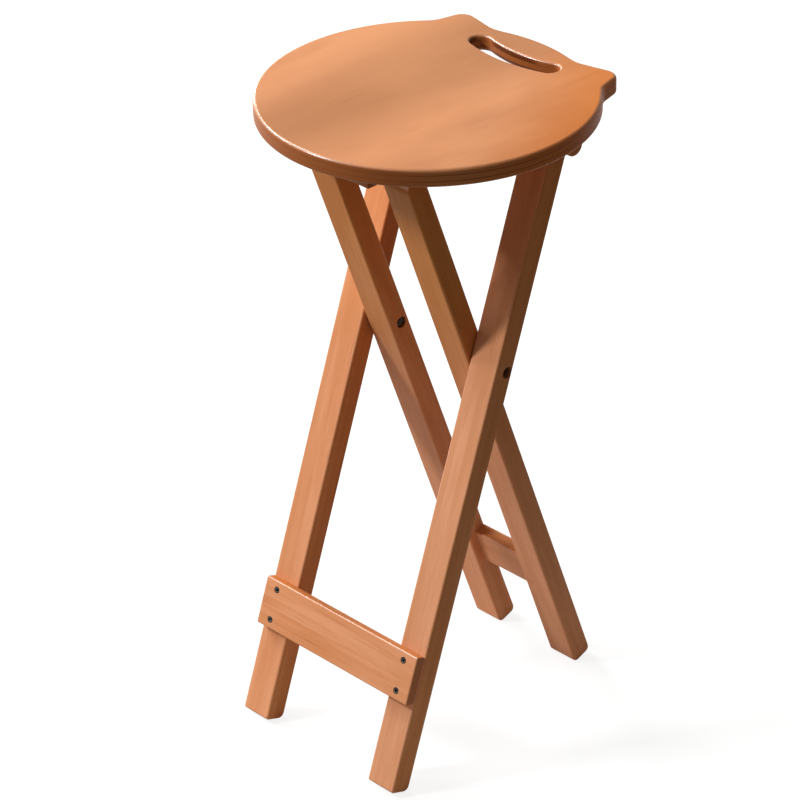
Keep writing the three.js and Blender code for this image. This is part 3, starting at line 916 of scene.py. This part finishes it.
master = makeBolt("bolt", pivots["shank"])
setFasteners(
    master, bothSides("pivotBolt", "pivot_bolt_", (pivots["headSeat"], pivotAt.y, pivotAt.z)),
    "outer_frame", steel["blackSteel"],
)
master = startCylinder("nut", pivots["nutRadius"], -pivots["nutHeight"], 0, corners=6)
chooseEdges(master, lambda edge: True)
roundOff(pivots["nutEdge"], steps=3)
recalculate()
drill(
    master, (0, 0, 0), (0, 0, 1), bolt["boreRadius"], pivots["nutHeight"] + bolt["overrun"], flare=0.4
)
setFasteners(
    master, bothSides("pivotNut", "pivot_nut_", (pivots["nutSeat"], pivotAt.y, pivotAt.z)),
    "outer_frame", steel["yellowZinc"],
)
master = makeWasher("washer", pivots["washerRadius"], pivots["washer"])
washerX = outer["x"] - (leg["width"] + pivots["legGap"]) / 2
setFasteners(
    master, bothSides("pivotWasher", "pivot_washer_", (washerX, pivotAt.y, pivotAt.z)),
    "outer_frame", steel["yellowZinc"],
)
print("pivots made")


# Rear stretcher and top rod
stretcher = dict(
    length=69.4, thickness=13.8, width=42, drop=312.5, backInset=0.1, arris=2,
    shoulderInset=0.5, tenonThickness=7.4, tenonWidth=29, tenonLength=14.3,
)
stretcherY = -inner["setback"] + leg["depth"] / 2 - stretcher["backInset"] - stretcher["thickness"] / 2
piece = startCube(
    "rearStretcher",
    (stretcher["length"], stretcher["thickness"], stretcher["width"]),
    (0, stretcherY, -stretcher["drop"]),
)
chooseEdges(piece, lambda edge: runsAlong(edge, 0))
roundOff(stretcher["arris"], steps=5)
tenonShares = (
    1,
    stretcher["tenonThickness"] / (stretcher["thickness"] - 2 * stretcher["shoulderInset"]),
    stretcher["tenonWidth"] / (stretcher["width"] - 2 * stretcher["shoulderInset"]),
)
for sign in sides.values():
    shoulder = sign * stretcher["length"] / 2
    chooseFaces(piece, lambda face: faceAt(face, 0, shoulder))
    bpy.ops.mesh.inset(thickness=stretcher["shoulderInset"] * mm)
    resizeBy(tenonShares, (shoulder, stretcherY, -stretcher["drop"]))
    extrudeBy((sign * stretcher["tenonLength"], 0, 0))
weld()
recalculate()
leanBy(piece, inner["lean"])
handOver(piece, "inner_frame", "rear_stretcher", bamboo["stretcher"])

rod = dict(radius=6.5, shoulder=34.7, tenonRadius=5, end=48, edge=0.8)
rodAlong = alongLeg(inner["lean"], -inner["setback"], inner["top"])
rodAt = fromLeg(inner["lean"], 0, -inner["setback"], rodAlong)
piece = startCylinder("topRod", rod["radius"], -rod["shoulder"], rod["shoulder"], corners=56)
for sign in sides.values():
    chooseFaces(piece, lambda face: face.normal.z * sign > 0.9)
    bpy.ops.mesh.inset(thickness=(rod["radius"] - rod["tenonRadius"]) * mm)
    extrudeBy((0, 0, sign * (rod["end"] - rod["shoulder"])))
chooseEdges(piece, lambda edge: edgeAt(edge, 2, rod["end"]) or edgeAt(edge, 2, -rod["end"]))
roundOff(rod["edge"], steps=3)
recalculate()
clearSelection()
turnTo(piece, (1, 0, 0), rodAt)
handOver(piece, "inner_frame", "top_rod", bamboo["catch"])
print("stretcher and rod made")


# Seat board
seat = dict(
    top=650, radius=159, thickness=17.4, centreY=6, topRound=3.5, bottomRound=2.5, backInset=10.6,
    earReach=22.1, earRound=14, earOuter=46.7, earTip=56.3, earInner=70.9, outerFillet=24, innerFillet=34,
    slotSetback=42.5, slotBend=148, slotWidth=20.2, slotHalfSpan=44.3, slotTopRound=2.9, slotBottomRound=6.5,
    slotReach=62, slotDepth=26,
)
centreY = seat["centreY"] + pivotAt.y
slotMiddle = centreY + seat["radius"] - seat["backInset"] - seat["slotSetback"]
underside = seat["top"] - seat["thickness"]


def onBoard(radius, degrees, inset=0):
    angle = math.radians(degrees)
    return Vector((radius * math.cos(angle), centreY - inset + radius * math.sin(angle)))


def seatArcs():
    earInner = onBoard(seat["radius"], seat["earInner"], seat["backInset"])
    earTip = onBoard(seat["radius"] + seat["earReach"], seat["earTip"])
    earOuter = onBoard(seat["radius"], seat["earOuter"])
    innerAngle, outerAngle = math.radians(seat["earInner"]), math.radians(seat["earOuter"])
    backWay = earInner + Vector((-math.sin(innerAngle), math.cos(innerAngle)))
    frontWay = earOuter + Vector((math.sin(outerAngle), -math.cos(outerAngle)))
    innerRoot = cornerArc(backWay, earInner, earTip, seat["innerFillet"])
    outerRoot = cornerArc(earTip, earOuter, frontWay, seat["outerFillet"])
    backCentre = Vector((0, centreY - seat["backInset"]))
    frontCentre = Vector((0, centreY))
    centre, start, sweep = outerRoot
    last = centre + turnArm(start - centre, sweep)
    backWards = innerRoot[1] - backCentre
    frontWards = last - frontCentre
    bendCentre = Vector((0, slotMiddle + seat["slotBend"]))
    half = seat["slotWidth"] / 2
    halfAngle = math.asin(seat["slotHalfSpan"] / seat["slotBend"])
    down = -math.pi / 2
    slotEnd = bendCentre + spoke(seat["slotBend"], down + halfAngle)
    return [
        arcAbout(backCentre, seat["radius"], math.pi / 2, math.atan2(backWards.y, backWards.x)),
        innerRoot,
        cornerArc(earInner, earTip, earOuter, seat["earRound"]),
        outerRoot,
        arcAbout(frontCentre, seat["radius"], math.atan2(frontWards.y, frontWards.x), down),
        arcAbout(bendCentre, seat["slotBend"] + half, down, down + halfAngle),
        arcAbout(slotEnd, half, down + halfAngle, down + halfAngle + math.pi),
        arcAbout(bendCentre, seat["slotBend"] - half, down + halfAngle, down),
    ]


def aboutSlot(edge):
    x, y = (edge.verts[0].co.xy + edge.verts[1].co.xy) / 2 / mm
    return x < seat["slotReach"] and abs(y - slotMiddle) < seat["slotDepth"]


# The right half is drawn, thickened and rounded, then mirrored
piece = drawOutline("seatBoard", seatArcs(), lambda spot: Vector((spot[0], spot[1], underside)), (0, 0, 1))
extrudeBy((0, 0, seat["thickness"]))
recalculate()
for level, inSlot, radius, steps in (
    (seat["top"], False, seat["topRound"], 7),
    (seat["top"], True, seat["slotTopRound"], 7),
    (underside, False, seat["bottomRound"], 5),
    (underside, True, seat["slotBottomRound"], 8),
):
    chooseEdges(
        piece, lambda edge: edgeAt(edge, 2, level) and not edgeAt(edge, 0, 0) and aboutSlot(edge) == inSlot
    )
    roundOff(radius, steps)
chooseFaces(piece, lambda face: abs(face.normal.x) > 0.99 and near(face.calc_center_median().x, 0))
bpy.ops.mesh.delete(type="FACE")
weld(slack=0.005)
applyModifier(piece, "MIRROR", use_axis=(True, False, False), use_clip=True, merge_threshold=0.00005)
editMesh(piece)
recalculate()
clearSelection()
handOver(piece, "seat", "seat_board", bamboo["seat"], angle=40)
print("seat board made")


# Hinge lugs
lug = dict(
    x=106, thickness=15.5, radius=10.25, halfLength=24, wing=10, fillet=5, corner=2.1, arris=1.5,
    screwSpread=17.5, screwLength=20, boltGrip=11, boltSunk=0.3, washerRadius=8.5, washer=0.8,
)
hingeY, hingeZ = hinge.y / mm, hinge.z / mm
wing = underside - lug["wing"]
wingCorners = cornerArcs([
    (hingeY + lug["radius"], hingeZ, 0),
    (hingeY + lug["radius"], wing, lug["fillet"]),
    (hingeY + lug["halfLength"], wing, lug["corner"]),
    (hingeY + lug["halfLength"], underside, 0),
    (hingeY - lug["halfLength"], underside, 0),
    (hingeY - lug["halfLength"], wing, lug["corner"]),
    (hingeY - lug["radius"], wing, lug["fillet"]),
    (hingeY - lug["radius"], hingeZ, 0),
])
lugArcs = [arcAbout((hingeY, hingeZ), lug["radius"], -math.pi, 0)] + wingCorners[1:-1]
master = drawOutline(
    "hingeLug", lugArcs, lambda spot: Vector((lug["x"], spot[0], spot[1])), (1, 0, 0), stride=1.2
)
extrudeBy((lug["thickness"], 0, 0))
recalculate()
roundEnds(master, 0, lug["arris"], steps=4)
weld()
recalculate()
clearSelection()
middleX = lug["x"] + lug["thickness"] / 2
for setOff in (-lug["screwSpread"], lug["screwSpread"]):
    mouth = (middleX, hingeY + setOff, wing)
    drill(master, mouth, (0, 0, -1), screw["boreRadius"], screw["recess"], screw["flare"])
for side, sign in sides.items():
    piece = copyPiece(master, "hingeLug" + side.capitalize())
    if sign < 0:
        piece.location = (-2 * middleX * mm, 0, 0)
        makeActive(piece)
        settle()
    handOver(piece, "seat", "hinge_lug_" + side, bamboo["block"])
bpy.data.objects.remove(master)

lugScrews = [
    (
        "lugScrew" + side.capitalize() + end.capitalize(), "lug_screw_" + side + "_" + end,
        (sign * middleX, hingeY + setOff, wing + screw["sunk"]), (0, 0, -1),
    )
    for side, sign in sides.items()
    for end, setOff in (("front", -lug["screwSpread"]), ("back", lug["screwSpread"]))
]
setFasteners(
    makeScrew("screw", lug["screwLength"]), lugScrews, "seat", steel["blackSteel"]
)

boltSeat = outerFace - leg["width"] + outer["hingeRecess"] - lug["boltSunk"]
hingeBolts = [
    (name, node, place, (-way[0], 0, 0))
    for name, node, place, way in bothSides("hingeBolt", "hinge_bolt_", (boltSeat, hingeY, hingeZ))
]
master = makeBolt("bolt", lug["x"] + lug["boltGrip"] - boltSeat)
setFasteners(master, hingeBolts, "seat", steel["blackSteel"])
master = makeWasher("washer", lug["washerRadius"], lug["washer"])
setFasteners(
    master, bothSides("hingeWasher", "hinge_washer_", ((outerFace + lug["x"]) / 2, hingeY, hingeZ)),
    "seat", steel["yellowZinc"],
)
print("hinges made")


# Catch under the front of the seat
catch = dict(
    width=67.5, lip=20.8, depth=30.1, length=39, gap=0.5, jointGap=0.3, edgeRound=1.6, arris=1,
    edgeReach=9, screwX=21.75, boreRadius=3.4, headRoom=2.4, flare=0.4,
    lipRecess=14, lipScrew=28, blockRecess=5, blockScrew=24,
)
lipBack = rodAt.y - rod["radius"] - catch["gap"]
lipFront = lipBack - catch["lip"]
blockFront = lipBack + catch["jointGap"]
blockBack = lipFront + catch["length"]


# Height of the block's underside, square to the inner legs
def blockUnderside(y):
    toRod = Vector((rodAt.y - pivotAt.y, rodAt.z - pivotAt.z))
    clear = toRod * (1 + (rod["radius"] + catch["gap"]) / toRod.length)
    return pivotAt.z + clear.y - (y - pivotAt.y - clear.x) * toRod.x / toRod.y


def finishCatch(piece, name, node, low, screwY, headZ, recess, length):
    limit = (low + catch["edgeReach"]) * mm
    chooseEdges(piece, lambda edge: runsAlong(edge, 0) and max(corner.co.z for corner in edge.verts) < limit)
    roundOff(catch["edgeRound"], steps=4)
    roundEnds(piece, 0, catch["arris"], steps=3)
    weld()
    recalculate()
    clearSelection()
    places = []
    for side, sign in sides.items():
        x = sign * catch["screwX"]
        drill(
            piece, (x, screwY, headZ - recess), (0, 0, -1),
            catch["boreRadius"], recess + catch["headRoom"], catch["flare"],
        )
        places.append((
            name + "Screw" + side.capitalize(), node + "_screw_" + side, (x, screwY, headZ), (0, 0, -1),
        ))
    handOver(piece, "seat", node, bamboo["catch"])
    setFasteners(makeScrew("screw", length), places, "seat", steel["blackSteel"])


lipBottom = underside - catch["depth"]
lipMiddle = (lipFront + lipBack) / 2
piece = startCube(
    "catchLip", (catch["width"], catch["lip"], catch["depth"]), (0, lipMiddle, (lipBottom + underside) / 2)
)
finishCatch(
    piece, "catchLip", "catch_lip", lipBottom, lipMiddle,
    lipBottom + catch["lipRecess"], catch["lipRecess"], catch["lipScrew"],
)
low, high = blockUnderside(blockFront), blockUnderside(blockBack)
blockMiddle = (blockFront + blockBack) / 2
piece = startCube(
    "catchBlock", (catch["width"], blockBack - blockFront, underside - low),
    (0, blockMiddle, (low + underside) / 2),
)
chooseCorners(piece, lambda corner: near(corner.co.y, blockBack) and near(corner.co.z, low))
bpy.ops.transform.translate(value=(0, 0, (high - low) * mm))
finishCatch(
    piece, "catchBlock", "catch_block", low, blockMiddle,
    blockUnderside(blockMiddle) + catch["blockRecess"], catch["blockRecess"], catch["blockScrew"],
)
print("catch made")


# Floor, light and background
studio = dict(
    floorSize=14, floor=(0.22, 0.22, 0.22, 1), floorGlow=(0.85, 1.0), glowReach=(0.9, 2.6),
    bounce=(0.58, 0.05), bounceReach=(0.35, 1.1), world=0.19, worldTint=(1.0, 0.93, 0.86, 1),
    white=(1, 1, 1, 1), aim=(0, 0, 0.4),
)
lamps = {
    "key": dict(way=(-0.445, -0.640, 0.625), reach=2.6, size=(0.45, 0.45), power=43),
    "side": dict(way=(-0.810, -0.180, 0.560), reach=2.6, size=(1.2, 0.34), power=38),
    "top": dict(way=(-0.630, -0.140, 0.760), reach=2.4, size=(0.45, 0.45), power=16),
    "rim": dict(way=(-0.920, 0.300, 0.260), reach=2.2, size=(0.16, 1.3), power=18),
}


def raysThatSee(tree):
    rays = addNode(tree, "ShaderNodeLightPath")
    seen = calculate(tree, "MAXIMUM", rays.outputs["Is Camera Ray"], rays.outputs["Is Glossy Ray"])
    return calculate(tree, "MAXIMUM", seen, rays.outputs["Is Transmission Ray"])


def addFloor():
    clearSelection()
    bpy.ops.mesh.primitive_plane_add(size=studio["floorSize"], location=(0, 0, 0))
    floor = bpy.context.object
    floor.name = "floor"
    material = bpy.data.materials.new("floorPaper")
    material.use_nodes = True
    tree = material.node_tree
    tree.nodes.clear()
    paper = addNode(tree, "ShaderNodeBsdfDiffuse", values={"Color": studio["floor"]})
    place = addNode(tree, "ShaderNodeTexCoord")
    away = addNode(
        tree, "ShaderNodeVectorMath", links={0: place.outputs["Object"]}, operation="LENGTH"
    ).outputs["Value"]
    # Far from the lamps the paper still runs out to plain white
    glow = addNode(
        tree, "ShaderNodeEmission", values={"Color": studio["white"]},
        links={"Strength": spread(tree, away, *studio["glowReach"], *studio["floorGlow"])},
    )
    lit = addNode(tree, "ShaderNodeAddShader", links={0: paper.outputs[0], 1: glow.outputs[0]})
    # The object gets its bounce light from the paper near its feet
    bounce = addNode(
        tree, "ShaderNodeBsdfDiffuse",
        links={"Color": spread(tree, away, *studio["bounceReach"], *studio["bounce"])},
    )
    mix = addNode(
        tree, "ShaderNodeMixShader", links={0: raysThatSee(tree), 1: bounce.outputs[0], 2: lit.outputs[0]}
    )
    output = addNode(tree, "ShaderNodeOutputMaterial")
    tree.links.new(mix.outputs[0], output.inputs["Surface"])
    floor.data.materials.append(material)


def addWorld():
    world = bpy.data.worlds.new("studio")
    world.use_nodes = True
    tree = world.node_tree
    tree.nodes.clear()
    fill = addNode(
        tree, "ShaderNodeBackground", values={"Color": studio["worldTint"], "Strength": studio["world"]}
    )
    white = addNode(tree, "ShaderNodeBackground", values={"Color": studio["white"], "Strength": 1.0})
    mix = addNode(
        tree, "ShaderNodeMixShader", links={0: raysThatSee(tree), 1: fill.outputs[0], 2: white.outputs[0]}
    )
    output = addNode(tree, "ShaderNodeOutputWorld")
    tree.links.new(mix.outputs[0], output.inputs["Surface"])
    bpy.context.scene.world = world


def addLamp(name, look):
    light = bpy.data.lights.new(name, "AREA")
    light.shape = "RECTANGLE"
    light.size, light.size_y = look["size"]
    light.energy = look["power"]
    lamp = bpy.data.objects.new(name, light)
    bpy.context.scene.collection.objects.link(lamp)
    way = Vector(look["way"]).normalized()
    lamp.location = Vector(studio["aim"]) + way * look["reach"]
    lamp.rotation_euler = way.to_track_quat("Z", "Y").to_euler()


addFloor()
addWorld()
for name, look in lamps.items():
    addLamp(name, look)
bpy.context.scene.view_settings.view_transform = "Standard"
clearSelection()
print("studio made")
